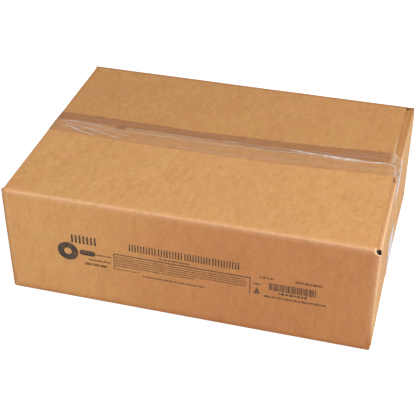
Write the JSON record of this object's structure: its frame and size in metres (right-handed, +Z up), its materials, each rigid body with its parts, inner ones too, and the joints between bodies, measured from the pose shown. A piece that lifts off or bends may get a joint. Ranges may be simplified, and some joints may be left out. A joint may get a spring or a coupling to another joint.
{
  "type": "box of doughnuts",
  "caption": "Shut corrugated shipping carton of doughnuts, sealed along its top and bottom seams with clear tape.",
  "frame": {"origin": "centre of the footprint, on the surface that the bottom flaps rest on", "axes": "+X along the carton's length to the end with the longer flap step, +Y from the printed long wall to the back, +Z up through the taped top seam"},
  "size_m": [0.4394, 0.3138, 0.1498],
  "materials": {
    "kraft_board": "matt brown kraft liner with faint flute lines and lighter worn folds",
    "clear_tape": "thin clear carton-sealing film, glossy and wrinkled",
    "print_ink": "one colour of dark brown flexographic print on the board"
  },
  "bodies": {
    "root": {"carton": "kraft_board", "tape_top": "clear_tape", "tape_bottom": "clear_tape"}
  },
  "joints": []
}
